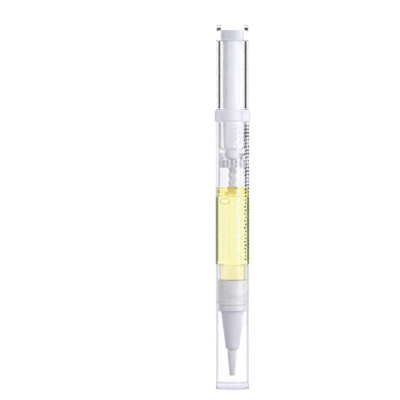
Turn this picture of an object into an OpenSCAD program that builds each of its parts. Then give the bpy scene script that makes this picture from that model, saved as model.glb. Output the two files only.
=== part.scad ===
// Twist-up nail oil pen, standing on its cap.
// The origin is the centre of the cap's foot and +Z runs up the pen to the knob.

/* [Barrel] */
// Outer diameter of the clear barrel
barrel_d = 13; // [12:0.1:16]
// Wall of the barrel around the oil
barrel_wall = 1.2; // [0.9:0.1:1.5]
// Length of the barrel from its shoulder to the guide bush
barrel_len = 55.45; // [52:0.05:70]
// Thickness of the shoulder that closes the barrel over its neck
shoulder_t = 1.2; // [0.8:0.1:2]
// Width of the ledge on which the cap's rim sits
shoulder_w = 1.32; // [1.1:0.02:1.6]
// Length of the neck below the shoulder
neck_len = 10.65; // [9:0.05:12]
// Wall of the neck
neck_wall = 1; // [0.7:0.05:1.4]

/* [Cap] */
// Height of the cap, from its foot to its rim
cap_h = 48.25; // [47:0.25:60]
// Wall of the cap
cap_wall = 0.45; // [0.4:0.05:1]
// Room between the cap and the widest ring of the nozzle
cap_gap = 0.12; // [0.1:0.01:0.4]
// Thickness of the cap's floor
cap_floor_t = 2; // [1.2:0.1:3]
// Height of the foot ring
foot_h = 2.4; // [1.5:0.1:4]
// How far the foot ring stands out of the cap's side
foot_proud = 0.13; // [0.05:0.01:0.6]

/* [Nozzle] */
// Wall of the skirt that grips the neck
skirt_wall = 0.5; // [0.35:0.05:0.8]
// Length of neck that the skirt covers
skirt_len = 4.7; // [3:0.1:6]
// Thickness of the web that the plug's head lies on
web_t = 1.2; // [0.8:0.1:2]
// Depth of the socket that takes the cone's spigot
socket_len = 3.65; // [2.5:0.05:5]
// How far the retaining ring stands out of the skirt
ring_proud = 0.15; // [0.05:0.01:0.3]
// Height of the retaining ring
ring_h = 1; // [0.6:0.1:1.6]
// Height of the groove between the retaining ring and the cone's flange
groove_h = 0.55; // [0.3:0.05:1]
// Height of the cone's flange
flange_h = 1.85; // [1.2:0.05:3]
// Diameter of the cone under its flange
cone_base_d = 8.8; // [7:0.02:9.4]
// Diameter of the cone at its mouth
cone_mouth_d = 5.26; // [4.6:0.02:6.5]
// Outer diameter of the feed tube
feed_tube_d = 1.2; // [0.9:0.1:1.4]
// Wall of the feed tube
feed_tube_wall = 0.25; // [0.15:0.05:0.35]

/* [Brush] */
// Room between the brush's tip and the cap's floor
tip_room = 3.2; // [2:0.1:6]
// Share of the nozzle below its flange that is bristle, and the rest is the cone
brush_share = 0.42; // [0.35:0.01:0.5]
// Diameter of the bristle bundle where it leaves the cone
brush_d = 3.86; // [3.4:0.02:4.2]
// Length of bristle held inside the cone
brush_hold = 5.8; // [4:0.1:8]
// Length below the cone over which the bundle stays nearly straight
brush_straight = 2.5; // [1:0.1:4]
// Diameter of the bundle at the nearly straight stretch's end, as a share of its root
brush_straight_share = 0.98; // [0.85:0.01:1]
// Diameter of the bundle at its tip, as a share of its root
brush_tip_share = 0.55; // [0.4:0.01:0.8]
// Number of bristles
bristle_count = 330; // [300:10:400]
// Thickness of one bristle at its root
bristle_d = 0.12; // [0.09:0.01:0.13]

/* [Guide bush] */
// Height of the collar between barrel and knob
collar_h = 4.5; // [3:0.1:8]
// How far the collar stands out of the barrel
collar_proud = 0.4; // [0.1:0.05:1]
// Wall of the sleeve inside the barrel
sleeve_wall = 0.73; // [0.5:0.01:1]

/* [Knob] */
// Length of the knob
knob_len = 32.65; // [28:0.05:45]
// How far the knob's side lies inside the barrel's
knob_inset = 0.1; // [0:0.05:0.4]
// Wall of the knob
knob_wall = 1.54; // [1.1:0.02:2]
// Thickness of the knob's closed end
knob_top_t = 1.9; // [1.2:0.1:3]
// Width of the bevel round the knob's closed end
knob_bevel = 0.5; // [0.2:0.1:1]
// Step in the knob's bore that grips the head of the drive tube
knob_step = 0.22; // [0.1:0.02:0.4]

/* [Drive tube] */
// Outer diameter of the drive tube, as a share of the barrel's bore
tube_share = 0.698; // [0.66:0.002:0.74]
// Height of the tube's head
tube_head_h = 3.9; // [2:0.1:6]
// Diameter of the tube at its narrow lower end, as a share of the same bore
tube_foot_share = 0.623; // [0.58:0.001:0.64]
// Diameter of the spigot that carries the click ring, as a share of the same bore
spigot_share = 0.49; // [0.45:0.01:0.53]
// Length of the flat-sided bore that turns the rod
driver_len = 8.7; // [6:0.1:12]

/* [Click ring] */
// Height of the click ring's hub
click_h = 2.9; // [2.4:0.1:3.4]
// Thickness of the flange that holds the drive tube down
click_flange_t = 0.55; // [0.4:0.05:0.8]
// Thickness of a spring arm
arm_t = 0.7; // [0.4:0.05:0.8]
// Width of a spring arm
arm_w = 0.85; // [0.6:0.05:0.9]
// Diameter of the round nose on an arm
nose_d = 2.6; // [1.8:0.1:2.8]
// Diameter of the tip that drops between two teeth
nose_tip_d = 0.64; // [0.4:0.02:0.7]

/* [Feed nut] */
// Height of the nut's ribs, which are also the click teeth
nut_h = 3.1; // [2.8:0.1:4]
// How far the ribs rise above the nut's body
crown_h = 0.8; // [0.5:0.05:1]
// Number of ribs
rib_count = 20; // [20:20:20]
// Width of a rib
rib_w = 0.75; // [0.5:0.05:0.9]
// Depth of a rib
rib_depth = 0.9; // [0.6:0.05:1.2]

/* [Screw rod] */
// Outer diameter of the thread
rod_d = 3.2; // [2.8:0.1:3.4]
// Depth of the thread
thread_depth = 0.4; // [0.3:0.05:0.45]
// Depth of the two flats
flat_depth = 0.45; // [0.35:0.05:0.5]
// Travel of the rod for one turn of the knob
feed_lead = 3; // [2.5:0.25:3.5]
// Turns of the knob from this fill to empty
feed_turns = 8; // [6:1:9]
// Diameter of the foot that snaps into the piston
rod_foot_d = 3.5; // [3:0.1:4]
// Height of that foot
rod_foot_h = 1.2; // [0.8:0.1:1.4]
// Diameter of the neck above that foot
rod_neck_d = 2.2; // [1.6:0.1:2.2]

/* [Piston] */
// Height of the piston
piston_h = 3.95; // [3.4:0.05:6]
// Height of each sealing lip
lip_h = 0.9; // [0.5:0.05:1.1]
// How far the waist between the lips is drawn in
waist_depth = 0.5; // [0.2:0.05:0.8]
// Length of rod seen between piston and nut
rod_show = 7.35; // [5:0.05:9]
// Oil that stays below the piston when the pen is empty
dead_len = 1.15; // [0.8:0.05:3]

/* [Fits] */
// Radial room in a running or sliding fit
run_gap = 0.05; // [0.03:0.01:0.08]
// Radial room in a pressed, snapped or glued joint
press_gap = 0.02; // [0.01:0.01:0.04]
// Room between faces that pass each other
face_gap = 0.3; // [0.2:0.05:0.4]
// Room between the knob's rim and the collar
knob_gap = 0.15; // [0.1:0.05:0.3]
// Radial room between the rod's thread and the nut's
thread_gap = 0.15; // [0.1:0.01:0.2]

/* [Hidden] */

// True round faces come from a fine setting, and small roundings have few steps
$fn = 96;
round_steps = 4;
// Extra length of every cut, so that it runs past the face it opens
overrun = 0.5;

// Colours, with the clear pieces see-through
clear_plastic = [0.93, 0.93, 0.97, 0.35];
milky_plastic = [0.86, 0.87, 0.88, 0.85];
white_plastic = [0.89, 0.89, 0.94];
grey_plastic = [0.78, 0.78, 0.80];
oil_yellow = [0.93, 0.90, 0.58, 0.75];
bristle_grey = [0.80, 0.80, 0.81];

// Barrel and neck
barrel_r = barrel_d / 2;
bore_r = barrel_r - barrel_wall;
neck_r = barrel_r - shoulder_w;
neck_bore_r = neck_r - neck_wall;
shoulder_z = cap_h;
barrel_top_z = shoulder_z + barrel_len;
bore_floor_z = shoulder_z + shoulder_t;
neck_z = shoulder_z - neck_len;
barrel_edge = 0.2;
// Snap bead round the neck, and its place above the neck's end
neck_bead = 0.12;
neck_bead_h = 0.5;
neck_bead_z = neck_z + skirt_len / 2;

// Nozzle collar, which hangs from the neck
skirt_bore_r = neck_r + press_gap;
skirt_r = skirt_bore_r + skirt_wall;
ring_r = skirt_r + ring_proud;
plug_head_t = 0.7;
web_top_z = neck_z - plug_head_t;
web_z = web_top_z - web_t;
collar_foot_z = web_z - socket_len;
socket_wall = 1.6;
groove_r = skirt_bore_r;
socket_r = groove_r - socket_wall;
ring_z = collar_foot_z + groove_h;

// Cone, whose flange closes the groove
flange_inset = 0.2;
flange_r = skirt_r - flange_inset;
flange_round = 0.6;
cone_top_z = collar_foot_z - flange_h;
// Cone and bristles share the depth that the cap leaves below the flange
nozzle_reach = cone_top_z - cap_floor_t - tip_room;
brush_len = brush_share * nozzle_reach;
cone_mouth_z = cone_top_z - (nozzle_reach - brush_len);
mouth_round = 0.25;
spigot_room = 0.2;
feed_r = feed_tube_d / 2;
feed_hole_r = feed_r + press_gap;

// Bristles, held by a welded root inside the cone
bundle_r = brush_d / 2;
brush_bore_r = bundle_r + run_gap;
root_t = 0.8;
root_z = cone_mouth_z + brush_hold;
// The feed tube ends inside the bundle, below the straight stretch
feed_drop = 0.17;
feed_end_z = cone_mouth_z - brush_straight - feed_drop;
bristle_r = bristle_d / 2;
// Inner edge of the bundle, which stays round the feed tube as the bundle narrows
bundle_hole_r = (feed_r + bristle_r + run_gap) / brush_straight_share + bristle_r;
golden_angle = 137.508;
// The tip is cut flat, and the outer bristles end a little short of it
tip_round = 0.35;
bristle_sides = 3;

// Neck plug, with a funnel that leads oil to the feed tube
plug_len = 3.9;
plug_top_z = neck_z + plug_len;
plug_r = neck_bore_r - press_gap;
plug_head_r = skirt_bore_r - press_gap;
funnel_r = 2.6;
funnel_depth = 1.5;
feed_top_z = plug_top_z - funnel_depth;

// Cap
cap_bore_r = ring_r + cap_gap;
cap_r = cap_bore_r + cap_wall;
foot_r = cap_r + foot_proud;
foot_edge = 0.35;
floor_round = 0.9;
// Snap bead inside the cap's wall, above the retaining ring, with a shallow groove outside
snap_z = ring_z + ring_h + face_gap + 0.5 * ring_h;
snap_bead_r = ring_r + run_gap;
snap_bead_h = 0.8;
snap_groove = 0.08;

// Feed train, stacked up from the barrel's floor
travel = feed_lead * feed_turns;
piston_z = bore_floor_z + dead_len + travel;
piston_top_z = piston_z + piston_h;
nut_z = piston_top_z + rod_show;
nut_top_z = nut_z + nut_h;
tube_foot_z = nut_top_z + face_gap;
foot_show = 0.9;
click_z = tube_foot_z + foot_show;
click_top_z = click_z + click_h;
sleeve_z = click_top_z + face_gap;
sleeve_r = bore_r - press_gap;
sleeve_bore_r = sleeve_r - sleeve_wall;

// Piston and rod foot
lip_r = bore_r - run_gap;
waist_r = lip_r - waist_depth;
lip_taper = 0.25;
foot_floor = 0.6;
rod_foot_z = piston_z + foot_floor;
rod_foot_top_z = rod_foot_z + rod_foot_h;
boss_r = 2.7;
recess_wall = 0.5;
recess_r = waist_r - recess_wall;
recess_depth = 1.3;

// Rod: a single-start thread with two flats
rod_r = rod_d / 2;
root_r = rod_r - thread_depth;
half_flat = rod_r - flat_depth;
thread_z = piston_top_z + face_gap;
driver_top_z = tube_foot_z + driver_len;
rod_top_z = driver_top_z + travel;
thread_len = rod_top_z - thread_z;
// The thread's outline round one turn: crest, flank, root, flank, as shares of the turn
crest_share = 0.27;
flank_share = 0.17;
thread_points = 14;
slices_per_turn = 10;
root_mid_share = (crest_share + flank_share + 1 - flank_share) / 2;

// Nut
nut_r = bore_r - press_gap;
nut_body_r = nut_r - rib_depth;
nut_bore_r = rod_r + thread_gap;
// One helical thread inside the nut, which lies in the rod's groove
lug_sweep = 200;
lug_steps = 10;
lug_tip = 0.3;
lug_base = 0.5;
lug_sink = 0.15;
lug_lift = 0.475;
lug_z = nut_z + lug_lift;
lug_angle = 360 * (root_mid_share + (lug_z - thread_z) / feed_lead);

// Drive tube and guide bush
tube_r = tube_share * bore_r;
tube_foot_r = tube_foot_share * bore_r;
spigot_r = spigot_share * bore_r;
collar_r = barrel_r + collar_proud;
collar_top_z = barrel_top_z + collar_h;
collar_edge = 0.4;
guide_bore_r = tube_r + run_gap;
taper_drop = 1;
tube_taper_top_z = barrel_top_z - taper_drop;
tube_slack = 0.4;
tube_bore_r = rod_r + tube_slack;
tube_end_t = 1.7;

// Knob
knob_r = barrel_r - knob_inset;
knob_z = collar_top_z + knob_gap;
knob_top_z = knob_z + knob_len;
knob_bore_r = knob_r - knob_wall;
knob_socket_r = knob_bore_r - knob_step;
head_top_z = knob_top_z - knob_top_t;
head_z = head_top_z - tube_head_h;
head_r = knob_socket_r - press_gap;

// Click ring: a hub, a holding flange and two spring arms with noses
click_hub_wall = 0.6;
click_hub_r = spigot_r + click_hub_wall;
click_flange_r = (sleeve_bore_r + sleeve_r) / 2;
arm_gap = 0.2;
arm_r = bore_r - arm_gap;
arm_in_r = arm_r - arm_w;
arm_rise = 0.7;
arm_z = click_z + arm_rise;
nose_r = nose_d / 2;
nose_z = nut_top_z + face_gap / 2 + nose_r;
tip_r = nose_tip_d / 2;
tip_z = nut_top_z + tip_r / 6;
arm_sweep = 62;
arm_root_sweep = 16;
arm_count = 2;
// Bearing of the first nose, which sits between two ribs
nose_angle = 212;

// Points of a rounding about one centre, from one angle to another
function rounding(cx, cz, r, from, to) = [
    for (i = [0:round_steps])
        let (a = from + (to - from) * i / round_steps)
        [cx + r * cos(a), cz + r * sin(a)]
];

// Radius of the thread's outline at a share of the turn
function thread_r(share) =
    share < crest_share ? rod_r
    : share < crest_share + flank_share ? rod_r - thread_depth * (share - crest_share) / flank_share
    : share < 1 - flank_share ? root_r
    : root_r + thread_depth * (share - 1 + flank_share) / flank_share;

// Four corners of the nut's thread at one step of its sweep
function lug_corners(step) =
    let (
        turn = lug_sweep * step / lug_steps,
        a = lug_angle + turn,
        z = lug_z + feed_lead * turn / 360,
        tip = root_r + thread_gap,
        base = nut_bore_r + lug_sink
    )
    [
        for (c = [[tip, -lug_tip], [base, -lug_base], [base, lug_base], [tip, lug_tip]])
            [c[0] * cos(a), c[0] * sin(a), z + c[1]]
    ];

// Distance of a bristle from the axis at its root, even in area over the bundle
function bristle_place(i) =
    let (
        inner = bundle_hole_r,
        outer = bundle_r - bristle_r,
        share = (i + 0.5) / bristle_count
    )
    sqrt(inner * inner + (outer * outer - inner * inner) * share);

// Length of a bristle below its root: full in the middle, shorter at the rim
function bristle_len(i) =
    let (share = (i + 0.5) / bristle_count)
    brush_hold + brush_len - tip_round * pow(share, 4);

// Width of the bundle, as a share of its root, at a depth below the root
function bundle_share(depth) =
    let (straight = brush_hold + brush_straight)
    depth < straight ? 1 - (1 - brush_straight_share) * depth / straight
    : brush_straight_share
        - (brush_straight_share - brush_tip_share) * (depth - straight) / (brush_len - brush_straight);

module turned(points) {
    rotate_extrude() polygon(points);
}

// A solid through rings of points, closed by its first and last ring
module swept(rings) {
    sides = len(rings[0]);
    last = len(rings) - 1;
    polyhedron(
        points = [for (ring = rings) each ring],
        faces = concat(
            [[for (c = [sides - 1:-1:0]) c]],
            [
                for (r = [0:last - 1], c = [0:sides - 1])
                    let (
                        here = r * sides,
                        n = (c + 1) % sides
                    )
                    each [
                        [here + c, here + n, here + sides + c],
                        [here + n, here + sides + n, here + sides + c]
                    ]
            ],
            [[for (c = [0:sides - 1]) last * sides + c]]
        )
    );
}

module cap_shell() {
    color(clear_plastic)
        turned(concat(
            [[0, 0]],
            rounding(foot_r - foot_edge, foot_edge, foot_edge, -90, 0),
            [
                [foot_r, foot_h],
                [cap_r, foot_h + foot_proud],
                [cap_r, snap_z - snap_bead_h / 2],
                [cap_r - snap_groove, snap_z],
                [cap_r, snap_z + snap_bead_h / 2],
                [cap_r, cap_h],
                [cap_bore_r, cap_h],
                [cap_bore_r, snap_z + snap_bead_h / 2],
                [snap_bead_r, snap_z],
                [cap_bore_r, snap_z - snap_bead_h / 2]
            ],
            rounding(cap_bore_r - floor_round, cap_floor_t + floor_round, floor_round, 0, -90),
            [[0, cap_floor_t]]
        ));
}

module barrel_tube() {
    color(clear_plastic)
        turned([
            [neck_bore_r, neck_z],
            [neck_r - barrel_edge, neck_z],
            [neck_r, neck_z + barrel_edge],
            [neck_r, neck_bead_z - neck_bead_h / 2],
            [neck_r + neck_bead, neck_bead_z],
            [neck_r, neck_bead_z + neck_bead_h / 2],
            [neck_r, shoulder_z],
            [barrel_r - barrel_edge, shoulder_z],
            [barrel_r, shoulder_z + barrel_edge],
            [barrel_r, barrel_top_z],
            [bore_r, barrel_top_z],
            [bore_r, bore_floor_z],
            [neck_bore_r, bore_floor_z]
        ]);
}

// The collar shows between barrel and knob, and the sleeve is pressed into the barrel
module guide_bush() {
    color(clear_plastic)
        turned(concat(
            [
                [guide_bore_r, barrel_top_z],
                [sleeve_bore_r, barrel_top_z],
                [sleeve_bore_r, sleeve_z],
                [sleeve_r - barrel_edge, sleeve_z],
                [sleeve_r, sleeve_z + barrel_edge],
                [sleeve_r, barrel_top_z]
            ],
            rounding(collar_r - collar_edge, barrel_top_z + collar_edge, collar_edge, -90, 0),
            rounding(collar_r - collar_edge, collar_top_z - collar_edge, collar_edge, 0, 90),
            [[guide_bore_r, collar_top_z]]
        ));
}

module nut_thread() {
    swept([for (s = [0:lug_steps]) lug_corners(s)]);
}

// Ribs grip the barrel, and their upper ends are the teeth that the click ring rides over
module feed_nut() {
    color(grey_plastic) {
        difference() {
            union() {
                translate([0, 0, nut_z])
                    cylinder(r = nut_body_r, h = nut_h - crown_h);
                translate([0, 0, nut_z])
                    linear_extrude(nut_h)
                        intersection() {
                            circle(r = nut_r);
                            for (i = [0:rib_count - 1])
                                rotate(nose_angle + (i + 0.5) * 360 / rib_count)
                                    translate([nut_body_r - rib_w, -rib_w / 2])
                                        square([rib_depth + 2 * rib_w, rib_w]);
                        }
            }
            translate([0, 0, nut_z - overrun])
                cylinder(r = nut_bore_r, h = nut_h + 2 * overrun);
        }
        nut_thread();
    }
}

module neck_plug() {
    color(milky_plastic)
        turned([
            [feed_hole_r, web_top_z],
            [plug_head_r, web_top_z],
            [plug_head_r, neck_z],
            [plug_r, neck_z],
            [plug_r, plug_top_z - barrel_edge],
            [plug_r - barrel_edge, plug_top_z],
            [funnel_r, plug_top_z],
            [feed_hole_r, feed_top_z]
        ]);
}

// Skirt over the neck, a web, a retaining ring for the cap and a socket for the cone
module nozzle_collar() {
    skirt_top_z = neck_z + skirt_len;
    color(milky_plastic)
        turned([
            [feed_hole_r, web_z],
            [socket_r, web_z],
            [socket_r, collar_foot_z],
            [groove_r, collar_foot_z],
            [groove_r, ring_z],
            [ring_r, ring_z],
            [ring_r, ring_z + ring_h / 2],
            [skirt_r, ring_z + ring_h],
            [skirt_r, skirt_top_z],
            [skirt_bore_r, skirt_top_z],
            [skirt_bore_r, neck_bead_z + neck_bead_h / 2],
            [skirt_bore_r + neck_bead, neck_bead_z],
            [skirt_bore_r, neck_bead_z - neck_bead_h / 2],
            [skirt_bore_r, web_top_z],
            [feed_hole_r, web_top_z]
        ]);
}

module nozzle_cone() {
    cone_mouth_r = cone_mouth_d / 2;
    spigot_fit_r = socket_r - press_gap;
    spigot_top_z = web_z - spigot_room;
    root_top_z = root_z + root_t;
    color(white_plastic)
        turned(concat(
            [
                [feed_hole_r, spigot_top_z],
                [feed_hole_r, root_top_z],
                [brush_bore_r, root_top_z],
                [brush_bore_r, cone_mouth_z]
            ],
            rounding(cone_mouth_r - mouth_round, cone_mouth_z + mouth_round, mouth_round, -90, 0),
            [[cone_base_d / 2, cone_top_z]],
            rounding(flange_r - flange_round, cone_top_z + flange_round, flange_round, -90, 0),
            [
                [flange_r, collar_foot_z],
                [spigot_fit_r, collar_foot_z],
                [spigot_fit_r, spigot_top_z]
            ]
        ));
}

module feed_tube() {
    color(milky_plastic)
        turned([
            [feed_r - feed_tube_wall, feed_end_z],
            [feed_r, feed_end_z],
            [feed_r, feed_top_z],
            [feed_r - feed_tube_wall, feed_top_z]
        ]);
}

// One bristle runs down from the welded root's face, drawn in with the rest of the bundle
module bristle(i) {
    place = bristle_place(i);
    turn = golden_angle * i;
    depths = [0, brush_hold + brush_straight, bristle_len(i)];
    swept([
        for (d = depths)
            [
                for (c = [0:bristle_sides - 1])
                    let (
                        share = bundle_share(d),
                        a = turn + 360 * c / bristle_sides
                    )
                    share * [
                        place * cos(turn) + bristle_r * cos(a),
                        place * sin(turn) + bristle_r * sin(a),
                        0
                    ] - [0, 0, d]
            ]
    ]);
}

// The resize keeps the bundle at its true diameter, whatever the number of sides of the root
module brush_tuft() {
    root_sides = 24;
    hole_sides = 12;
    color(bristle_grey)
        translate([0, 0, root_z])
            resize([brush_d, brush_d, 0])
                union() {
                    linear_extrude(root_t)
                        difference() {
                            circle(r = bundle_r, $fn = root_sides);
                            circle(r = feed_hole_r / cos(180 / hole_sides), $fn = hole_sides);
                        }
                    for (i = [0:bristle_count - 1])
                        bristle(i);
                }
}

module oil_reservoir() {
    color(oil_yellow)
        translate([0, 0, bore_floor_z])
            cylinder(r = bore_r - press_gap, h = piston_z - bore_floor_z);
}

module oil_neck() {
    color(oil_yellow)
        translate([0, 0, plug_top_z])
            cylinder(r = neck_bore_r - press_gap, h = bore_floor_z - plug_top_z);
}

module knob_shell() {
    color(clear_plastic)
        turned([
            [0, knob_top_z],
            [0, head_top_z],
            [knob_socket_r, head_top_z],
            [knob_socket_r, head_z],
            [knob_bore_r, head_z],
            [knob_bore_r, knob_z],
            [knob_r - barrel_edge, knob_z],
            [knob_r, knob_z + barrel_edge],
            [knob_r, knob_top_z - knob_bevel],
            [knob_r - knob_bevel, knob_top_z]
        ]);
}

// The head is pressed into the knob, and flats in the lower bore turn the rod
module drive_tube() {
    color(white_plastic)
        difference() {
            turned([
                [0, head_top_z],
                [0, tube_foot_z],
                [spigot_r, tube_foot_z],
                [spigot_r, click_top_z],
                [tube_foot_r, click_top_z],
                [tube_foot_r, sleeve_z + face_gap],
                [tube_r, tube_taper_top_z],
                [tube_r, head_z],
                [head_r, head_z],
                [head_r, head_top_z]
            ]);
            translate([0, 0, driver_top_z])
                cylinder(r = tube_bore_r, h = head_top_z - tube_end_t - driver_top_z);
            translate([0, 0, tube_foot_z - overrun])
                linear_extrude(driver_len + 2 * overrun)
                    intersection() {
                        circle(r = rod_r + run_gap);
                        square([2 * tube_r, 2 * (half_flat + run_gap)], center = true);
                    }
        }
}

// A flat wedge that opens from the axis, between two bearings
module wedge(from, to, height) {
    reach = 2 * bore_r;
    linear_extrude(height)
        polygon([[0, 0], reach * [cos(from), sin(from)], reach * [cos(to), sin(to)]]);
}

// A ring about the axis with a square section
module band(inner, outer, foot, top) {
    translate([0, 0, foot])
        rotate_extrude()
            translate([inner, 0])
                square([outer - inner, top - foot]);
}

// A spring arm with the round nose and the tip at its free end, all cut from one ring
module click_arm() {
    link_r = arm_in_r + arm_w / 2;
    intersection() {
        band(arm_in_r, arm_r, tip_z - nose_r, nose_z + nose_d);
        union() {
            translate([0, 0, arm_z])
                wedge(-arm_sweep, 0, arm_t);
            for (round = [[nose_z, nose_r], [tip_z, tip_r]])
                translate([0, 0, round[0]])
                    rotate([0, 90, 0])
                        cylinder(r = round[1], h = bore_r);
        }
    }
    intersection() {
        band((spigot_r + click_hub_r) / 2, link_r, arm_z, arm_z + arm_t);
        translate([0, 0, arm_z])
            wedge(-arm_sweep, arm_root_sweep - arm_sweep, arm_t);
    }
}

module click_ring() {
    color(grey_plastic) {
        turned([
            [spigot_r + press_gap, click_z],
            [click_hub_r, click_z],
            [click_hub_r, click_top_z - click_flange_t],
            [click_flange_r, click_top_z - click_flange_t],
            [click_flange_r, click_top_z],
            [spigot_r + press_gap, click_top_z]
        ]);
        for (i = [0:arm_count - 1])
            rotate(nose_angle + 360 * i / arm_count)
                click_arm();
    }
}

// The resize keeps the foot at its true diameter, whatever its number of sides
module screw_rod() {
    foot_sides = 24;
    turns = thread_len / feed_lead;
    color(white_plastic)
        resize([rod_foot_d, rod_foot_d, 0])
            union() {
                translate([0, 0, rod_foot_z])
                    cylinder(r = rod_foot_d / 2, h = rod_foot_h, $fn = foot_sides);
                translate([0, 0, rod_foot_z])
                    cylinder(r = rod_neck_d / 2, h = thread_z - rod_foot_z + overrun, $fn = foot_sides);
                translate([0, 0, thread_z])
                    intersection() {
                        linear_extrude(
                            height = thread_len,
                            twist = -360 * turns,
                            slices = ceil(slices_per_turn * turns),
                            $fn = thread_points
                        )
                            polygon([
                                for (i = [0:thread_points - 1])
                                    let (share = i / thread_points)
                                    thread_r(share) * [cos(360 * share), sin(360 * share)]
                            ]);
                        linear_extrude(thread_len)
                            square([2 * rod_d, 2 * half_flat], center = true);
                    }
            }
}

// Two sealing lips, with a socket that snaps over the rod's foot
module piston() {
    socket_fit_r = rod_foot_d / 2 + run_gap;
    socket_neck_r = rod_neck_d / 2 + run_gap;
    color(milky_plastic)
        turned([
            [0, piston_z],
            [lip_r - lip_taper, piston_z],
            [lip_r, piston_z + lip_taper],
            [lip_r, piston_z + lip_h],
            [waist_r, piston_z + lip_h + lip_taper],
            [waist_r, piston_top_z - lip_h - lip_taper],
            [lip_r, piston_top_z - lip_h],
            [lip_r, piston_top_z - lip_taper],
            [lip_r - lip_taper, piston_top_z],
            [recess_r, piston_top_z],
            [recess_r, piston_top_z - recess_depth],
            [boss_r, piston_top_z - recess_depth],
            [boss_r, piston_top_z],
            [socket_neck_r, piston_top_z],
            [socket_neck_r, rod_foot_top_z + run_gap],
            [socket_fit_r, rod_foot_top_z + run_gap],
            [socket_fit_r, rod_foot_z - run_gap],
            [0, rod_foot_z - run_gap]
        ]);
}

cap_shell();
barrel_tube();
guide_bush();
feed_nut();
neck_plug();
nozzle_collar();
nozzle_cone();
feed_tube();
brush_tuft();
oil_reservoir();
oil_neck();
knob_shell();
drive_tube();
click_ring();
screw_rod();
piston();
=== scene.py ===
"""Dressed model of a twist-up nail oil pen that stands on its cap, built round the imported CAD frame."""
import math

import bpy
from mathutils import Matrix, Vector


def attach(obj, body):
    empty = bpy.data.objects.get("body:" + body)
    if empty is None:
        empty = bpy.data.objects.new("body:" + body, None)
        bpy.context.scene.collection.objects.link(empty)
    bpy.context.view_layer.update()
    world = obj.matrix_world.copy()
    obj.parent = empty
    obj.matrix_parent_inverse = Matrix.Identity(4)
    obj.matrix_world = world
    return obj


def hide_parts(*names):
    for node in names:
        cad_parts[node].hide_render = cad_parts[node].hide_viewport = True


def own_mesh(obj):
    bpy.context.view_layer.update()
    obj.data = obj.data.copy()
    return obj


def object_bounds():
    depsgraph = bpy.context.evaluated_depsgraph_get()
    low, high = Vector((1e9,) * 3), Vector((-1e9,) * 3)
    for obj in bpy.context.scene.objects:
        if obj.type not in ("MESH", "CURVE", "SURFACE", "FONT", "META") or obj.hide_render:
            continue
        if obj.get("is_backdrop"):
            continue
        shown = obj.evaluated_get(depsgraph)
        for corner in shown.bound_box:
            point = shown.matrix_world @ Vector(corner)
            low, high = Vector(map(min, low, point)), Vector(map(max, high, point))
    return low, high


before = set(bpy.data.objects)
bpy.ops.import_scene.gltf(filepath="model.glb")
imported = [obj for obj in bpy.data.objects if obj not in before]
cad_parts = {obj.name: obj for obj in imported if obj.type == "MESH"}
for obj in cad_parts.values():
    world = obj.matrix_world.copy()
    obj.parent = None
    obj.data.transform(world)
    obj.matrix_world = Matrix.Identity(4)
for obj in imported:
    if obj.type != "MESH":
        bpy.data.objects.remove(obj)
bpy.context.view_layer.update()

# The photograph's place. The camera stands level, a finger's width to the left of the pen and
# 0.69 m in front of it, with a long lens. Everything behind the pen is white paper.
MM = 0.001
eye_left, eye_away, eye_height = 12.6, 686, 73.4
sensor_width, focal_length = 36, 158.9
lens = bpy.data.cameras.new("studio_camera")
lens.sensor_width = sensor_width
lens.lens = focal_length
lens.clip_start = 0.05
camera = bpy.data.objects.new("studio_camera", lens)
camera.location = (-eye_left * MM, -eye_away * MM, eye_height * MM)
camera.rotation_euler = (math.pi / 2, 0, 0)
bpy.context.scene.collection.objects.link(camera)
bpy.context.scene.camera = camera
bpy.context.scene.view_settings.view_transform = "Standard"


def colour(code, alpha=1.0):
    """Turn an sRGB hex code into the linear colour that the shaders work in."""
    parts = [int(code[i : i + 2], 16) / 255 for i in (0, 2, 4)]
    return [p / 12.92 if p <= 0.04045 else ((p + 0.055) / 1.055) ** 2.4 for p in parts] + [alpha]


def add(tree, kind, inputs=None, **settings):
    """Add a node with its settings; an input takes a value, or the output that is linked to it."""
    node = tree.nodes.new(kind)
    for name, value in settings.items():
        setattr(node, name, value)
    for name, value in (inputs or {}).items():
        if isinstance(value, bpy.types.NodeSocket):
            tree.links.new(value, node.inputs[name])
        else:
            node.inputs[name].default_value = value
    return node


# White paper behind the pen and grey walls beside it. On both sides of the knob black flags stand
# behind the pen and in front of it, and draw the thin dark lines in the clear knob. Clear and glossy
# pieces show all this, and the camera itself sees white paper.
MIX_A, MIX_B, MIXED = 6, 7, 2  # the Mix node's two colour inputs, and its colour output
world = bpy.data.worlds.new("studio")
bpy.context.scene.world = world
world.use_nodes = True
sky = world.node_tree
sky.nodes.clear()
towards = add(sky, "ShaderNodeTexCoord").outputs["Generated"]
axes = add(sky, "ShaderNodeSeparateXYZ", {"Vector": towards}).outputs
bearing = add(sky, "ShaderNodeMath", {0: axes["X"], 1: axes["Y"]}, operation="ARCTAN2")
off_view = add(sky, "ShaderNodeMath", {0: bearing.outputs[0]}, operation="ABSOLUTE")
share = add(sky, "ShaderNodeMath", {0: off_view.outputs[0], 1: math.pi}, operation="DIVIDE")
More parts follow.
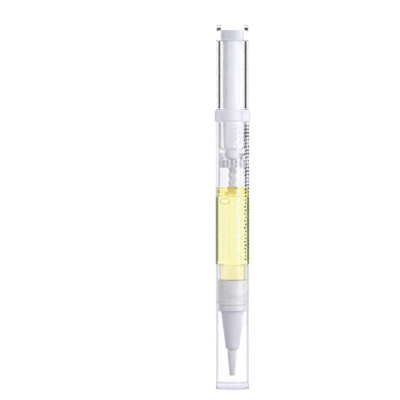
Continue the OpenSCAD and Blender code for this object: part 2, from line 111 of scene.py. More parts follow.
# Wall colours by bearing on either side, from 0 behind the pen to 180 behind the camera
low_walls = (
    (0, "FFFFFF"), (46, "FFFFFF"), (55, "A8A8B4"), (70, "A8A8B4"), (78, "FFFFFF"),
    (102, "FFFFFF"), (110, "A8A8B4"), (125, "A8A8B4"), (134, "FFFFFF"), (180, "FFFFFF"),
)
high_walls = (
    (0, "FFFFFF"), (35.5, "FFFFFF"), (37, "080A1A"), (63, "080A1A"), (66, "A0A0AA"),
    (114, "A0A0AA"), (117, "080A1A"), (142, "080A1A"), (143.5, "FFFFFF"), (180, "FFFFFF"),
)
ramps = []
for wall_colours, gain in ((low_walls, 1.0), (high_walls, 1.12)):
    ramp = add(sky, "ShaderNodeValToRGB", {"Fac": share.outputs[0]})
    stops = ramp.color_ramp.elements
    while len(stops) < len(wall_colours):
        stops.new(0.5)
    for stop, (degrees, code) in zip(stops, wall_colours):
        stop.position = degrees / 180
        stop.color = [gain * c for c in colour(code)]
    ramps.append(ramp)
# Heights as the rise of a ray: grey walls from the shoulder to the collar, flags beside the knob's bore
# and beside its closed end, and white elsewhere. Red marks the walls and green the flags
lowest_rise, highest_rise = -0.05, 0.12
bands = add(sky, "ShaderNodeMapRange", {
    "Value": axes["Z"], "From Min": lowest_rise, "From Max": highest_rise,
})
mask = add(sky, "ShaderNodeValToRGB", {"Fac": bands.outputs[0]})
mask.color_ramp.interpolation = "CONSTANT"
rises = (
    (lowest_rise, 0, 0), (-0.035, 1, 0), (0.047, 0, 1), (0.0896, 0, 0), (0.0951, 0, 1), (0.11, 0, 0),
)
marks = mask.color_ramp.elements
while len(marks) < len(rises):
    marks.new(0.5)
for mark, (rise, wall, flag) in zip(marks, rises):
    mark.position = (rise - lowest_rise) / (highest_rise - lowest_rise)
    mark.color = (wall, flag, 0, 1)
shares = add(sky, "ShaderNodeSeparateColor", {"Color": mask.outputs["Color"]})
bright_paper = (1.1, 1.1, 1.1, 1)
walls = add(sky, "ShaderNodeMix", {
    "Factor": shares.outputs["Red"], MIX_A: bright_paper, MIX_B: ramps[0].outputs["Color"],
}, data_type="RGBA")
walls = add(sky, "ShaderNodeMix", {
    "Factor": shares.outputs["Green"], MIX_A: walls.outputs[MIXED], MIX_B: ramps[1].outputs["Color"],
}, data_type="RGBA")
# Solid surfaces get soft light, stronger from the right and from above
soft_slope, soft_level = (0.37, 0, 0.15), 0.84
slope = add(sky, "ShaderNodeVectorMath", {0: towards, 1: soft_slope}, operation="DOT_PRODUCT")
soft = add(sky, "ShaderNodeMath", {0: slope.outputs["Value"], 1: soft_level}, operation="ADD")
ray = add(sky, "ShaderNodeLightPath")
through = add(sky, "ShaderNodeMath", {
    0: ray.outputs["Is Glossy Ray"], 1: ray.outputs["Is Transmission Ray"],
}, operation="MAXIMUM")
light = add(sky, "ShaderNodeMix", {
    "Factor": through.outputs[0], MIX_A: soft.outputs[0], MIX_B: walls.outputs[MIXED],
}, data_type="RGBA")
paper = add(sky, "ShaderNodeMix", {
    "Factor": ray.outputs["Is Camera Ray"], MIX_A: light.outputs[MIXED], MIX_B: (1, 1, 1, 1),
}, data_type="RGBA")
background = add(sky, "ShaderNodeBackground", {"Color": paper.outputs[MIXED]})
add(sky, "ShaderNodeOutputWorld", {"Surface": background.outputs[0]})

# Two softboxes in front of the pen, the stronger one to the right, and a small one low on the right,
# which lights the nozzle and isn't mirrored in the clear plastic.
for name, place, aim_height, width, height, watts in (
    ("key_softbox", (0.6, -0.4, 0.3), 0.07, 0.7, 0.7, 1.1),
    ("fill_softbox", (-0.55, -0.45, 0.2), 0.07, 0.4, 0.5, 0.2),
    ("low_softbox", (0.14, -0.12, 0.02), 0.02, 0.1, 0.08, 0.09),
):
    lamp = bpy.data.lights.new(name, "AREA")
    lamp.shape = "RECTANGLE"
    lamp.size, lamp.size_y, lamp.energy = width, height, watts
    softbox = bpy.data.objects.new(name, lamp)
    softbox.location = place
    aim = Vector((0, 0, aim_height)) - softbox.location
    softbox.rotation_euler = aim.to_track_quat("-Z", "Y").to_euler()
    softbox.visible_glossy = softbox.visible_transmission = name != "low_softbox"
    bpy.context.scene.collection.objects.link(softbox)

# The paper that the pen stands on. It shines a little for the camera so that it stays white,
# and keeps the soft shadow of the pen.
bpy.ops.object.select_all(action="DESELECT")
bpy.ops.mesh.primitive_plane_add(size=0.7)
floor = bpy.context.object
floor.name = "paper_floor"
paper_white = bpy.data.materials.new("white_paper")
paper_white.use_nodes = True
tree = paper_white.node_tree
tree.nodes.clear()
sheet = add(tree, "ShaderNodeBsdfDiffuse", {"Color": colour("D2D2D2")})
glow = add(tree, "ShaderNodeEmission", {"Color": (1, 1, 1, 1), "Strength": 0.5})
both = add(tree, "ShaderNodeAddShader", {0: sheet.outputs[0], 1: glow.outputs[0]})
ray = add(tree, "ShaderNodeLightPath")
# Painted shadow: for soft light the paper is painted darker close to the pen, in place of the pen's own
# shade on it
place = add(tree, "ShaderNodeTexCoord").outputs["Object"]
away = add(tree, "ShaderNodeVectorMath", {0: place}, operation="LENGTH")
shade = add(tree, "ShaderNodeMapRange", {
    "Value": away.outputs["Value"], "From Min": 0.03, "From Max": 0.12, "To Min": 0.18, "To Max": 0.64,
})
painted_shadow_near_pen = add(tree, "ShaderNodeBsdfDiffuse", {"Color": shade.outputs[0]})
plain = add(tree, "ShaderNodeMixShader", {
    0: ray.outputs["Is Diffuse Ray"], 1: both.outputs[0], 2: painted_shadow_near_pen.outputs[0],
})
add(tree, "ShaderNodeOutputMaterial", {"Surface": plain.outputs[0]})
floor.data.materials.append(paper_white)
floor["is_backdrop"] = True

# Cap: clear SAN, injection moulded in one with its thick foot. A shallow groove outside and a bead
# inside show where it snaps over the nozzle's ring.


def arc(r, z, radius, start, end, steps=6):
    """Points of a rounding about one centre, in mm, from one angle to another in degrees."""
    angles = [math.radians(start + (end - start) * i / steps) for i in range(steps + 1)]
    return [(r + radius * math.cos(a), z + radius * math.sin(a)) for a in angles]


def swell(r, z, depth, half, down=False):
    """Points of a soft bead, or of a groove where depth is negative, centred on one height."""
    places = (-1, -0.6, -0.3, 0, 0.3, 0.6, 1)
    bump = [(r + depth * (1 + math.cos(math.pi * t)) / 2, z + half * t) for t in places]
    return bump[::-1] if down else bump


RING_IN = 0.25  # how far in from its ends a long wall gets its rings, in mm


def turned(name, outline, edge=0.08, steps=128):
    """Spin a closed outline of (radius, height) points in mm round the axis, and soften its edges."""
    # A long wall gets a ring near each end, so that its shading stays true up to the edge
    corners, outline = outline, []
    for here, there in zip(corners, [*corners[1:], corners[0]]):
        outline.append(here)
        length = math.dist(here, there)
        if length > 3 * RING_IN:
            for part in (RING_IN / length, 1 - RING_IN / length):
                outline.append([a + (b - a) * part for a, b in zip(here, there)])
    bpy.ops.object.select_all(action="DESELECT")
    bpy.ops.mesh.primitive_circle_add(vertices=len(outline), radius=MM)
    piece = bpy.context.object
    piece.name = piece.data.name = name
    for corner, (radius, height) in zip(piece.data.vertices, outline):
        corner.co = (radius * MM, 0, height * MM)
    bpy.ops.object.mode_set(mode="EDIT")
    bpy.ops.mesh.select_all(action="SELECT")
    bpy.ops.mesh.spin(steps=steps, angle=math.tau, center=(0, 0, 0), axis=(0, 0, 1))
    bpy.ops.mesh.select_all(action="SELECT")
    bpy.ops.mesh.remove_doubles(threshold=0.001 * MM)
    bpy.ops.mesh.delete_loose(use_verts=True, use_edges=True, use_faces=False)
    bpy.ops.mesh.select_all(action="SELECT")
    bpy.ops.mesh.normals_make_consistent(inside=False)
    bpy.ops.object.mode_set(mode="OBJECT")
    if edge:
        bevel = piece.modifiers.new("soft_edges", "BEVEL")
        bevel.limit_method = "ANGLE"
        bevel.angle_limit = math.radians(40)
        bevel.width = edge * MM
        bevel.segments = 2
        bpy.ops.object.modifier_apply(modifier=bevel.name)
    bpy.ops.object.shade_smooth_by_angle(angle=math.radians(35))
    return piece


SOFT_LIGHT = ("Is Shadow Ray", "Is Diffuse Ray")
ALL_BUT_CAMERA = (*SOFT_LIGHT, "Is Transmission Ray", "Is Glossy Ray")


def lets_light_through(tree, surface, kinds=SOFT_LIGHT):
    """Let lamps and soft light pass the clear shader, so that they reach what is behind it."""
    ray = add(tree, "ShaderNodeLightPath")
    clear = add(tree, "ShaderNodeBsdfTransparent")
    for kind in kinds:
        mix = add(tree, "ShaderNodeMixShader", {0: ray.outputs[kind], 1: surface, 2: clear.outputs[0]})
        surface = mix.outputs[0]
    return surface


def moulded_clear(
    name, tint, edge, hazy=0.03, depth=0.0, ior=1.57, bend=(0.547, 0.641), kinds=SOFT_LIGHT,
    straight=0.0, lean=0.35,
):
    """Clear plastic as it leaves a polished mould: glassy, with faint flow lines down its length."""
    material = bpy.data.materials.new(name)
    material.use_nodes = True
    tree = material.node_tree
    tree.nodes.clear()
    place = add(tree, "ShaderNodeTexCoord").outputs["Object"]
    # Flow lines 2 mm apart round the pen and 20 mm long
    drawn = add(tree, "ShaderNodeMapping", {"Vector": place, "Scale": (500, 500, 50)})
    flow = add(tree, "ShaderNodeTexNoise", {"Vector": drawn.outputs[0], "Scale": 1, "Detail": 2})
    haze = add(tree, "ShaderNodeMapRange", {
        "Value": flow.outputs["Fac"], "To Min": 0.0, "To Max": hazy,
    })
    cast = colour(tint)
    if edge != tint:
        # Painted shade: where the wall is seen edge on, its colour turns to the edge colour, which stands in
        # for the dark that the wall bends in from beside the pen; only a little of it is the longer path of
        # the light through the wall. In a tube that depends on the turn round its axis and hardly on the
        # slope along it, so the normal leans to the axis
        axis = add(
            tree, "ShaderNodeVectorTransform", {"Vector": (0, 0, lean)},
            vector_type="VECTOR", convert_from="OBJECT", convert_to="WORLD",
        ).outputs["Vector"]
        faces = add(tree, "ShaderNodeNewGeometry").outputs["Normal"]
        lifted = add(tree, "ShaderNodeVectorMath", {0: faces, 1: axis}, operation="ADD").outputs["Vector"]
        leaning = add(tree, "ShaderNodeVectorMath", {0: lifted}, operation="NORMALIZE").outputs["Vector"]
        slant = add(tree, "ShaderNodeLayerWeight", {"Blend": 0.5, "Normal": leaning})
        rim = add(tree, "ShaderNodeMapRange", {
            "Value": slant.outputs["Facing"], "From Min": bend[0], "From Max": bend[1],
        }).outputs[0]
        cast = add(tree, "ShaderNodeMix", {
            "Factor": rim, MIX_A: colour(tint), MIX_B: colour(edge),
        }, data_type="RGBA").outputs[MIXED]
    surface = add(tree, "ShaderNodeBsdfPrincipled", {
        "Base Color": cast, "Roughness": haze.outputs[0], "IOR": ior, "Transmission Weight": 1.0,
    }).outputs[0]
    if straight:
        # Part of the light passes the edge-on wall straight, and takes the painted edge colour
        stain = add(tree, "ShaderNodeBsdfTransparent", {"Color": colour(edge)}).outputs[0]
        part = add(tree, "ShaderNodeMath", {0: rim, 1: straight}, operation="MULTIPLY").outputs[0]
        surface = add(tree, "ShaderNodeMixShader", {0: part, 1: surface, 2: stain}).outputs[0]
    surface = lets_light_through(tree, surface, kinds)
    out = add(tree, "ShaderNodeOutputMaterial", {"Surface": surface})
    # Only a piece with one finish all over takes a depth, so that light leaves what it has entered
    if depth:
        violet = add(tree, "ShaderNodeVolumeAbsorption", {"Color": (0.57, 0.54, 0.71, 1), "Density": depth})
        tree.links.new(violet.outputs[0], out.inputs["Volume"])
    return material


# SAN, injection moulded in a polished mould: water-clear, with a violet cast where it is thick, and a
# painted grey-violet shade at its edges
cap_san = moulded_clear("san_moulded_cap", "F9F8FC", "A0A0AE", depth=55.0)

cap_r, cap_bore_r, cap_snap, cap_rim = 6.42, 5.97, 34.4, 48.23
cap = turned("cap_clear", [
    (0, 0), *arc(6.2, 0.35, 0.35, -90, 0), (6.55, 2.4), (cap_r, 2.53),
    *swell(cap_r, cap_snap, -0.1, 0.45), (cap_r, cap_rim), (cap_bore_r, cap_rim),
    *swell(cap_bore_r, cap_snap, -0.07, 0.45, down=True), *arc(5.07, 2.9, 0.9, 0, -90), (0, 2.0),
])
cap.data.materials.append(cap_san)
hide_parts("cap_shell")
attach(cap, "cap")

# Barrel: clear SAN tube with a shoulder and a narrower neck, moulded in one. Oil wets its bore up to
# the piston, and there the wall bends light hardly at all, because oil and plastic bend it alike.
neck_r, neck_bore_r, barrel_r, bore_r = 5.18, 4.18, 6.5, 5.3
neck_end, neck_bead, shoulder, outer_foot, shoulder_edge = 37.6, 39.95, 48.25, 48.4, 48.45
bore_floor, oil_foot, piston_foot, wet_top, tinted_bore_top, barrel_top = 49.45, 49.5, 74.6, 78.6, 85.5, 103.68
barrel = turned("barrel_clear", [
    (neck_bore_r, neck_end), (4.98, neck_end), (neck_r, 37.8), *swell(neck_r, neck_bead, 0.12, 0.25),
    (neck_r, shoulder), (6.3, shoulder), (barrel_r, shoulder_edge), (barrel_r, oil_foot),
    (barrel_r, piston_foot), (barrel_r, wet_top), (barrel_r, barrel_top), (bore_r, barrel_top),
    (bore_r, tinted_bore_top), (bore_r, wet_top), (bore_r, bore_floor), (neck_bore_r, bore_floor),
])
# SAN, moulded: clear where it is dry. Its edges, where the wall is seen edge on, carry painted shade: grey
# where it is dry, and olive where oil stands behind it, which is partly the oil's own colour
green, green_bend = "B6BE80", (0.519, 0.604)
DRY, OILY, WET, NECK, FLOOR, GLINT_AT_PISTON, TINTED_BORE = range(7)
for finish in (
    moulded_clear("san_moulded_clear", "FFFFFF", "D4D4DE"),
    moulded_clear("san_moulded_over_oil", "FFFFFF", green, bend=green_bend, straight=0.9),
    moulded_clear("san_wetted_by_oil", "FFFFFF", "FFFFFF", ior=1.0, kinds=ALL_BUT_CAMERA),
    moulded_clear("san_moulded_neck", "F7F4F3", "A09E86", bend=(0.481, 0.622)),
    moulded_clear("san_moulded_floor", "F7F4F3", green, bend=green_bend, straight=0.9),
    # At the piston's lips the wall's edge is painted nearly white: a painted glint
    moulded_clear("san_moulded_painted_glint_at_piston", "FFFFFF", "E6E8D5", bend=green_bend, straight=0.9),
    # Above the piston the bore is tinted a little grey, and where it is seen edge on it is painted a dark
    # blue-grey shade
    moulded_clear("san_moulded_bore_painted_shade", "F4F4F8", "24304C", bend=(0.575, 0.811)),
):
    barrel.data.materials.append(finish)
wet_san = barrel.data.materials[WET]
for face in barrel.data.polygons:
    reach = math.hypot(face.center.x, face.center.y) / MM
    outward = face.normal.dot(Vector((face.center.x, face.center.y, 0))) / (reach * MM)
    height = face.center.z
    low = height < wet_top * MM
    if low and outward > 0.5:
        if height > piston_foot * MM:
            face.material_index = GLINT_AT_PISTON
        elif height > oil_foot * MM:
            face.material_index = OILY
        else:
            face.material_index = FLOOR if height > outer_foot * MM else NECK
    if outward < -0.5 and tinted_bore_top * MM > height > wet_top * MM:
        face.material_index = TINTED_BORE
    floor_face = reach < bore_r and face.normal.z > 0.5
    shoulder_face = reach > 5.2 and face.normal.z < -0.5
    if low and (outward < -0.5 or floor_face or shoulder_face):
        face.material_index = WET
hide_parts("barrel_tube")
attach(barrel, "barrel")

# Plug and feed tube: the plug closes the neck with a funnel that leads oil into a thin tube, which
# runs down to the middle of the bristles. Both are natural polypropylene.


def moulded_pp(name, tint, deep, roughness, subsurface, see_through, ior=1.49):
    """Polypropylene from a sparked mould: soft sheen, fine grain, light that enters and spreads."""
    material = bpy.data.materials.new(name)
    material.use_nodes = True
    tree = material.node_tree
    tree.nodes.clear()
    place = add(tree, "ShaderNodeTexCoord").outputs["Object"]
    # Grain of a third of a millimetre, coarser than the real one so that it shows, and clouds of 4 mm
    fine = add(tree, "ShaderNodeTexNoise", {"Vector": place, "Scale": 1 / (0.35 * MM), "Detail": 3})
    cloud = add(tree, "ShaderNodeTexNoise", {"Vector": place, "Scale": 250, "Detail": 2})
    blend = add(tree, "ShaderNodeMix", {
        "Factor": cloud.outputs["Fac"], MIX_A: colour(tint), MIX_B: colour(deep),
    }, data_type="RGBA")
    sheen = add(tree, "ShaderNodeMapRange", {
        "Value": fine.outputs["Fac"], "To Min": roughness - 0.06, "To Max": roughness + 0.08,
    })
    bump = add(tree, "ShaderNodeBump", {
        "Height": fine.outputs["Fac"], "Strength": 0.12, "Distance": 0.02 * MM,
    })
    body = add(tree, "ShaderNodeBsdfPrincipled", {
        "Base Color": blend.outputs[MIXED], "Roughness": sheen.outputs[0], "IOR": ior,
        "Normal": bump.outputs[0], "Transmission Weight": see_through,
        "Subsurface Weight": subsurface, "Subsurface Radius": (1, 1, 1), "Subsurface Scale": 1.2 * MM,
    })
    surface = body.outputs[0]
    if see_through:
        surface = lets_light_through(tree, surface)
    add(tree, "ShaderNodeOutputMaterial", {"Surface": surface})
    return material


# Natural polypropylene, moulded: milky, and light shows through it
pp_milky = moulded_pp("pp_moulded_milky", "EEEFF2", "E4E5EA", 0.35, 0.4, 0.0)
plug_foot, funnel_foot, plug_top, feed_hole_r = 36.9, 40.0, 41.5, 0.62
plug = turned("neck_plug_pp", [
    (feed_hole_r, plug_foot), (neck_r, plug_foot), (neck_r, neck_end), (4.16, neck_end),
    (4.16, 41.3), (3.96, plug_top), (2.6, plug_top), (feed_hole_r, funnel_foot),
])
tube_foot = 13.03
tube = turned("feed_tube_pp", [
    (0.35, tube_foot), (0.6, tube_foot), (0.6, funnel_foot), (0.35, funnel_foot),
], edge=0.04, steps=48)
for piece, node in ((plug, "neck_plug"), (tube, "feed_tube")):
    piece.data.materials.append(pp_milky)
    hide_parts(node)
    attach(piece, "barrel")

# Nozzle collar: moulded polypropylene, snapped over the neck's bead. Its skirt lets the colour of the
# oil through, and the ring above the groove holds the cap.
# Translucent polypropylene, moulded: cloudy, with what it covers faint behind it
pp_collar = moulded_pp("pp_moulded_translucent", "E6E8E6", "DCDEDE", 0.3, 0.0, 0.35)
skirt_bore_r, skirt_r, skirt_rim, stain_foot, flange_top = 5.2, 5.7, 42.3, 42.0, 32.05
collar = turned("nozzle_collar_pp", [
    (feed_hole_r, 35.7), (3.6, 35.7), (3.6, flange_top), (skirt_bore_r, flange_top), (skirt_bore_r, 32.6),
    (5.5, 32.65), (5.85, 33.2), (5.85, 33.35), (skirt_r, 33.6), (skirt_r, skirt_rim),
    (skirt_bore_r, skirt_rim), *swell(skirt_bore_r, neck_bead, 0.12, 0.25, down=True),
    (skirt_bore_r, plug_foot), (feed_hole_r, plug_foot),
])
collar.data.materials.append(pp_collar)
# Oil that has crept up to the skirt's rim stains it
collar.data.materials.append(moulded_pp("pp_moulded_stained_rim", "EAE6D2", "E4E0CC", 0.5, 0.4, 0.0))
for face in collar.data.polygons:
    if face.center.z > stain_foot * MM:
        face.material_index = 1
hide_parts("nozzle_collar")
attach(collar, "barrel")

# Cone: white polypropylene, moulded and pressed into the collar's socket. Its flange closes the groove,
# and its mouth holds the brush.
# White polypropylene, moulded: opaque, satin, with a violet cast
pp_white = moulded_pp("pp_moulded_white", "DFDEE6", "D6D5DE", 0.32, 0.0, 0.0)
root_top, mouth_r, mouth_end, spigot_r, spigot_top = 22.3, 1.98, 15.7, 3.58, 35.5
cone = turned("nozzle_cone_pp", [
    (feed_hole_r, spigot_top), (feed_hole_r, root_top), (mouth_r, root_top), (mouth_r, mouth_end),
    *arc(2.38, 15.95, 0.25, -90, 0), (4.4, 30.2), *arc(4.9, 30.8, 0.6, -90, 0), (5.5, flange_top),
    (spigot_r, flange_top), (spigot_r, spigot_top),
])
cone.data.materials.append(pp_white)
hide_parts("nozzle_cone")
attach(cone, "barrel")

# Brush: several hundred nylon bristles, each drawn thinner towards its tip, welded together at the
# root inside the cone. One bristle is modelled and copied, and each copy bends in to the tip.
root_foot, straight_end, brush_tip = 21.5, 13.2, 5.2
bristle_count, bristle_r, tip_thinning = 520, 0.06, 0.55
bundle_inner_r, bundle_outer_r = 0.8, 1.86
straight_share, tip_share = 0.98, 0.55
levels = (21.7, 18, straight_end, 11.5, 9.8, 8.2, 6.6, 5.6, brush_tip)


def drawn_in(height):
    """Width of the bundle at a height, as a share of its width at the root."""
    if height > straight_end:
        return 1 - (1 - straight_share) * (root_foot - height) / (root_foot - straight_end)
    t = (straight_end - height) / (straight_end - brush_tip)
    return straight_share - (straight_share - tip_share) * t


# Nylon, drawn: white, and a little glossy along each strand
nylon = bpy.data.materials.new("nylon_drawn_bristle")
nylon.use_nodes = True
tree = nylon.node_tree
tree.nodes.clear()
place = add(tree, "ShaderNodeTexCoord").outputs["Object"]
# Each bristle differs a little in tone: cells 0.2 mm wide and 12 mm long
strands = add(tree, "ShaderNodeMapping", {"Vector": place, "Scale": (5000, 5000, 80)})
tone = add(tree, "ShaderNodeTexVoronoi", {"Vector": strands.outputs[0], "Scale": 1})
grey = add(tree, "ShaderNodeMix", {
    "Factor": tone.outputs["Distance"], MIX_A: colour("FDFEFE"), MIX_B: colour("EEF0F0"),
}, data_type="RGBA")
fibre = add(tree, "ShaderNodeBsdfPrincipled", {
    "Base Color": grey.outputs[MIXED], "Roughness": 0.4, "IOR": 1.53, "Sheen Weight": 0.15,
})
# Light passes on through the fine strands
add(tree, "ShaderNodeOutputMaterial", {"Surface": lets_light_through(tree, fibre.outputs[0])})

bpy.ops.object.select_all(action="DESELECT")
bpy.ops.mesh.primitive_circle_add(
    vertices=4, radius=bristle_r * MM, fill_type="NGON", location=(0, 0, levels[0] * MM)
)
bristle = bpy.context.object
bristle.name = "brush_bristles"
bpy.ops.object.mode_set(mode="EDIT")
for above, below in zip(levels, levels[1:]):
    bpy.ops.mesh.extrude_region_move(TRANSFORM_OT_translate={"value": (0, 0, (below - above) * MM)})
bpy.ops.mesh.select_all(action="SELECT")
bpy.ops.mesh.normals_make_consistent(inside=False)
bpy.ops.object.mode_set(mode="OBJECT")
bpy.ops.object.transform_apply(location=True, rotation=True, scale=True)
golden_turn = math.radians(137.508)
strand_copies = []
for i in range(bristle_count):
    part = (i + 0.5) / bristle_count
    # The last bristles close the rim of the bundle
    spread = (bundle_outer_r**2 - bundle_inner_r**2) * part * 1.25
    reach = min(bundle_outer_r, math.sqrt(bundle_inner_r**2 + spread))
    angle = golden_turn * i
    stray = 0.05 * math.sin(7.3 * i)
    end = brush_tip + 0.35 * part**4 + 0.12 * (math.sin(3.7 * i) + 1)
    copy = bristle.copy()
    copy.data = bristle.data.copy()
    for vert in copy.data.vertices:
        height = vert.co.z / MM
        down = (levels[0] - height) / (levels[0] - brush_tip)
        height = max(height, end) if height > brush_tip + 0.01 else end
        thin = 1 - tip_thinning * down**2
        off_axis = reach * drawn_in(height)
        turn = angle + stray * down**2
        vert.co.x = (off_axis * math.cos(turn)) * MM + vert.co.x * thin
        vert.co.y = (off_axis * math.sin(turn)) * MM + vert.co.y * thin
        vert.co.z = height * MM
    bpy.context.scene.collection.objects.link(copy)
    strand_copies.append(copy)
bpy.data.objects.remove(bristle)
bpy.ops.object.select_all(action="DESELECT")
for copy in strand_copies:
    copy.select_set(True)
bpy.context.view_layer.objects.active = strand_copies[0]
bpy.ops.object.join()
brush = bpy.context.object
brush.name = brush.data.name = "brush_bristles"
bpy.ops.object.shade_smooth_by_angle(angle=math.radians(60))
weld_hole_r, weld_r = 0.64, 1.93
weld = turned("brush_root_weld", [
    (weld_hole_r, root_foot), (weld_r, root_foot), (weld_r, root_top), (weld_hole_r, root_top),
])
for piece in (brush, weld):
    piece.data.materials.append(nylon)
    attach(piece, "barrel")
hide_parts("brush_tuft")

# Feed nut and click ring: pale grey acetal, moulded. The nut's ribs grip the barrel, and the ring's
# round noses ride over their ends. These are the CAD solids with a better finish.
# Acetal, moulded: pale grey and soft in its sheen, because light enters it and spreads
acetal = moulded_pp("acetal_moulded_grey", "DCDBE5", "D3D2DC", 0.3, 1.0, 0.0)
for node in ("feed_nut", "click_ring"):
    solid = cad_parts[node]
    solid.data.materials.clear()
    solid.data.materials.append(acetal)
# The ring's thin hub and flange let the light through, and its thick noses show grey
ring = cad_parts["click_ring"]
hub_r, flange_foot = 4.1, 92.0
ring.data.materials.append(moulded_pp("acetal_moulded_thin", "FCFCFF", "F4F4FA", 0.3, 0.0, 0.85, ior=1.1))
for face in ring.data.polygons:
    if math.hypot(face.center.x, face.center.y) < hub_r * MM or face.center.z > flange_foot * MM:
        face.material_index = 1

# Screw rod: white polypropylene, moulded with its thread and two flats. The flats slide in the drive
# tube, the thread screws through the nut, and the foot snaps into the piston.
# White polypropylene, moulded: opaque, the same white as the cone but painted greyer, as shade for the
# barrel
pp_rod = moulded_pp("pp_moulded_rod_white_painted_shade", "DCDCDF", "D2D2D6", 0.35, 0.0, 0.0)
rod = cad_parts["screw_rod"]
rod.data.materials.clear()
rod.data.materials.append(pp_rod)
# Oil creeps round the foot in the piston's socket, and lets light into it
pp_wetted = moulded_pp("pp_moulded_rod_wetted", "F4EEB8", "ECE4A4", 0.3, 0.0, 0.7, ior=1.03)
rod.data.materials.append(pp_wetted)
wetted_top = 78.7
for face in rod.data.polygons:
    if face.center.z < wetted_top * MM:
        face.material_index = 1

# Piston: natural polypropylene with a sealing lip at each end, stained and wetted by the oil that it
# pushes, so that it shows yellow.
# Natural polypropylene, moulded and wetted by oil: nearly clear, and yellow
pp_stained = moulded_pp("pp_moulded_oil_stained", "FFF8A6", "FBF29A", 0.12, 0.0, 0.95, ior=1.12)
piston_top, lip_r, waist_r, socket_mouth_r = 78.55, 5.25, 4.75, 1.15
piston = turned("piston_pp", [
    (0, piston_foot), (5.0, piston_foot), (lip_r, 74.85), (lip_r, 75.5), (waist_r, 75.75),
    (waist_r, 77.4), (lip_r, 77.65), (lip_r, 78.3), (5.0, piston_top), (4.25, piston_top),
    (4.25, 77.25), (2.7, 77.25), (2.7, piston_top), (socket_mouth_r, piston_top),
    (socket_mouth_r, 76.45), (1.8, 76.45), (1.8, 75.15), (0, 75.15),
])
piston.data.materials.append(pp_stained)
piston.data.materials.append(wet_san)
# Oil fills the hollows in the piston, so their walls don't bend light
hollow_r, hollow_foot = 4.4, 74.7
for face in piston.data.polygons:
    if math.hypot(face.center.x, face.center.y) < hollow_r * MM and face.center.z > hollow_foot * MM:
        face.material_index = 1
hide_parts("piston")
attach(piston, "piston")

# Oil: pale yellow, clear, and darker the more of it the light has to cross. The piston squeezes the
# upper part out through the neck. A flat air bubble is caught under the piston.


def clear_oil(name, tone, depth):
    """Oil as a clear body without a surface of its own, since plastic bends light as it does."""
    material = bpy.data.materials.new(name)
    material.use_nodes = True
    tree = material.node_tree
    tree.nodes.clear()
    liquid = add(tree, "ShaderNodeBsdfPrincipled", {
        "Base Color": colour("FFFFFF"), "Roughness": 0.0, "IOR": 1.0, "Transmission Weight": 1.0,
    })
    tint = add(tree, "ShaderNodeVolumeAbsorption", {"Color": (*tone, 1), "Density": depth})
    surface = lets_light_through(tree, liquid.outputs[0], ALL_BUT_CAMERA)
    add(tree, "ShaderNodeOutputMaterial", {"Surface": surface, "Volume": tint.outputs[0]})
    return material


# The oil stands 0.02 mm off the walls that hold it
oil = turned("oil_in_barrel", [(0, 49.47), (5.28, 49.47), (5.28, 74.58), (0, 74.58)], edge=0)
neck_oil = turned("oil_in_neck", [(0, 41.52), (4.16, 41.52), (4.16, bore_floor), (0, bore_floor)], edge=0)
for piece, node, tone, depth in (
    (oil, "oil_reservoir", (0.94, 0.89, 0.15), 82.0),
    (neck_oil, "oil_neck", (0.975, 0.955, 0.15), 112.0),
):
    piece.data.materials.append(clear_oil(f"nail_{piece.name}", tone, depth))
    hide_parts(node)
    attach(piece, "barrel")

bubble_at = [mm * MM for mm in (-2.45, -2.4, 72.9)]
bpy.ops.object.select_all(action="DESELECT")
bpy.ops.mesh.primitive_uv_sphere_add(segments=32, ring_count=20, radius=MM, location=bubble_at)
bubble = bpy.context.object
bubble.name = bubble.data.name = "air_bubble"
bubble.scale = (1.7, 1.3, 1.12)
bpy.ops.object.transform_apply(location=True, rotation=True, scale=True)
bpy.ops.object.shade_smooth()
# Air in oil: hardly there in the middle. Its rim is painted dark yellow, a painted shade for the light that
# the bubble bends away
air = moulded_clear("air_in_oil", "FFFFF4", "A4961C", hazy=0.02, ior=1.06, bend=(0.25, 0.7), lean=0.0)
bubble.data.materials.append(air)
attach(bubble, "barrel")
# Eight turns of the knob press the oil down from its full height to what is left. Here the oil and the
# bubble only get meshes of their own
for piece in (oil, bubble):
    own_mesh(piece)

# Guide bush: clear SAN with a slight haze, pressed into the barrel and welded at its collar. The
# drive tube shows through its sleeve.
# SAN, moulded: a polished sleeve with faint flow lines and a faint painted shade at its edges, and a frosted
# collar that looks nearly white
sleeve_san = moulded_clear("san_moulded_sleeve", "FFFFFF", "E4E3EC", hazy=0.05)
collar_san = moulded_pp("san_moulded_frosted", "F0EFF8", "E6E5F0", 0.3, 0.0, 0.45, ior=1.2)
guide_r, sleeve_bore_r, sleeve_r, sleeve_foot, collar_foot, collar_top = 3.75, 4.55, 5.28, 93.4, 103.7, 108.2
bush = turned("guide_bush_clear", [
    (guide_r, collar_foot), (sleeve_bore_r, collar_foot), (sleeve_bore_r, sleeve_foot),
    (5.08, sleeve_foot), (sleeve_r, 93.6), (sleeve_r, collar_foot), *arc(6.5, 104.1, 0.4, -90, 0),
    *arc(6.5, 107.8, 0.4, 0, 90), (guide_r, collar_top),
])
bush.data.materials.append(sleeve_san)
bush.data.materials.append(collar_san)
for face in bush.data.polygons:
    if math.hypot(face.center.x, face.center.y) > bore_r * MM and face.center.z > (collar_foot - 0.1) * MM:
        face.material_index = 1
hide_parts("guide_bush")
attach(bush, "barrel")

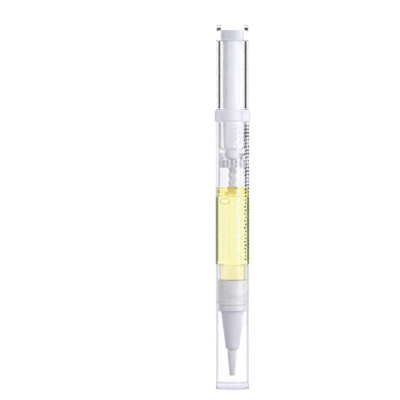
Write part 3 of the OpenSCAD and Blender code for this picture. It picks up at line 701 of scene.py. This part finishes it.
# Drive tube: white polypropylene, moulded. Its head is pressed into the knob, and it narrows towards
# the flats that turn the rod.
# White polypropylene, moulded: bright, because light enters the wall and spreads
pp_bright = moulded_pp("pp_moulded_bright_white", "E8E8F2", "DEDEEA", 0.36, 0.7, 0.0)
tube_bore_r, flats_r, tube_end, head_foot, head_r, head_top = 2.0, 1.7, 89.3, 135.2, 4.62, 139.06
drive = turned("drive_tube_pp", [
    (0, head_top), (0, 137.4), (tube_bore_r, 137.4), (tube_bore_r, 98.0), (flats_r, 97.8),
    (flats_r, tube_end), (2.6, tube_end), (2.6, 93.1), (3.3, 93.1), (3.3, 93.7), (3.7, 102.7),
    (3.7, head_foot), (head_r, head_foot), (head_r, head_top),
])
drive.data.materials.append(pp_bright)
# Painted shade: the head takes a darker copy of the white, for the shade of the knob's thick end
drive.data.materials.append(moulded_pp("pp_moulded_head_painted_shade", "CECEDA", "C6C6D4", 0.36, 0.7, 0.0))
for face in drive.data.polygons:
    if face.center.z > (head_foot - 0.1) * MM:
        face.material_index = 1
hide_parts("drive_tube")
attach(drive, "knob")

# Knob: clear SAN cup with a thick wall and a rounded end, moulded and polished. The drive tube's head
# is pressed into its closed end, and the hand turns it.
# SAN, moulded and polished: water-clear, with hardly a flow line, and a faint painted shade at its edges
knob_san = moulded_clear("san_moulded_knob", "FFFFFF", "F2F4F8", hazy=0.008)
knob_foot, knob_top, seat_r, seat_end, knob_bore_r, rounding = 108.35, 141.0, 4.64, 139.1, 4.86, 0.2
knob = turned("knob_clear", [
    (0, knob_top), (0, seat_end), (seat_r, seat_end), (seat_r, head_foot), (knob_bore_r, head_foot),
    (knob_bore_r, knob_foot), (6.2, knob_foot), (6.4, 108.55), *arc(6.2, 140.8, rounding, 0, 90),
])
knob.data.materials.append(knob_san)
# The small rounding of the closed end doesn't throw light down the wall
knob.data.materials.append(moulded_clear("san_moulded_edge", "FFFFFF", "FFFFFF", ior=1.0))
for face in knob.data.polygons:
    if face.center.z > (knob_top - rounding - 0.01) * MM and face.normal.z < 0.99:
        face.material_index = 1
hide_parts("knob_shell")
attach(knob, "knob")

# Printed marks: plain graduation ticks in dark and white ink, pad printed on the barrel's side. Each
# is a thin film that follows the curve of the wall, clear of it so that the two don't touch.
film_thick, film_off = 0.02, 0.012


def ticks(name, bearing, length, height, pitch, low, high, ink):
    """Print a column of ticks at a bearing in degrees from the front, between two heights in mm."""
    bpy.ops.object.select_all(action="DESELECT")
    bpy.ops.mesh.primitive_cube_add(size=1)
    tick = bpy.context.object
    tick.scale = (length * MM, film_thick * MM, height * MM)
    bpy.ops.object.transform_apply(location=True, rotation=True, scale=True)
    bpy.ops.object.mode_set(mode="EDIT")
    bpy.ops.mesh.select_all(action="SELECT")
    bpy.ops.mesh.subdivide(number_cuts=3)
    bpy.ops.object.mode_set(mode="OBJECT")
    copies = []
    for i in range(int((high - low) / pitch) + 1):
        copy = tick.copy()
        copy.data = tick.data.copy()
        # Each tick differs a little in length and place
        stretch, shift = 0.8 + 0.25 * math.sin(5.1 * i), 0.04 * math.sin(3.3 * i)
        for vert in copy.data.vertices:
            around = math.radians(bearing) + shift + stretch * vert.co.x / (barrel_r * MM)
            reach = barrel_r * MM + film_off * MM - vert.co.y
            vert.co = (
                reach * math.sin(around), -reach * math.cos(around), vert.co.z + (low + i * pitch) * MM,
            )
        bpy.context.scene.collection.objects.link(copy)
        copies.append(copy)
    bpy.data.objects.remove(tick)
    bpy.ops.object.select_all(action="DESELECT")
    for copy in copies:
        copy.select_set(True)
    bpy.context.view_layer.objects.active = copies[0]
    bpy.ops.object.join()
    column = bpy.context.object
    column.name = column.data.name = name
    column.data.materials.append(ink)
    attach(column, "barrel")


def printing_ink(name, tint, worn, cover=1.0):
    """Pad printing ink: a matt film, a little uneven where it is thin."""
    material = bpy.data.materials.new(name)
    material.use_nodes = True
    tree = material.node_tree
    tree.nodes.clear()
    place = add(tree, "ShaderNodeTexCoord").outputs["Object"]
    # Patches of two thirds of a millimetre
    patch = add(tree, "ShaderNodeTexNoise", {"Vector": place, "Scale": 1500, "Detail": 2})
    film = add(tree, "ShaderNodeMix", {
        "Factor": patch.outputs["Fac"], MIX_A: colour(tint), MIX_B: colour(worn),
    }, data_type="RGBA")
    coat = add(tree, "ShaderNodeBsdfPrincipled", {
        "Base Color": film.outputs[MIXED], "Roughness": 0.8, "Specular IOR Level": 0.1, "Alpha": cover,
    })
    add(tree, "ShaderNodeOutputMaterial", {"Surface": coat.outputs[0]})
    return material


# Ink, pad printed: matt black, and a white so thin that it half covers
dark_ink = printing_ink("ink_pad_printed_dark", "1E1C26", "3A3842")
pale_ink = printing_ink("ink_pad_printed_white", "FFFFFF", "F2F2F8", cover=0.5)
ticks("ticks_dark_inner", 49, 0.85, 0.68, 1.35, 50.5, 102.2, dark_ink)
ticks("ticks_dark_outer", 75, 1.9, 0.68, 1.35, 50.9, 103, dark_ink)
ticks("ticks_pale", 18.5, 1.45, 0.86, 1.0, 51, 102.5, pale_ink)

low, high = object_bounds()
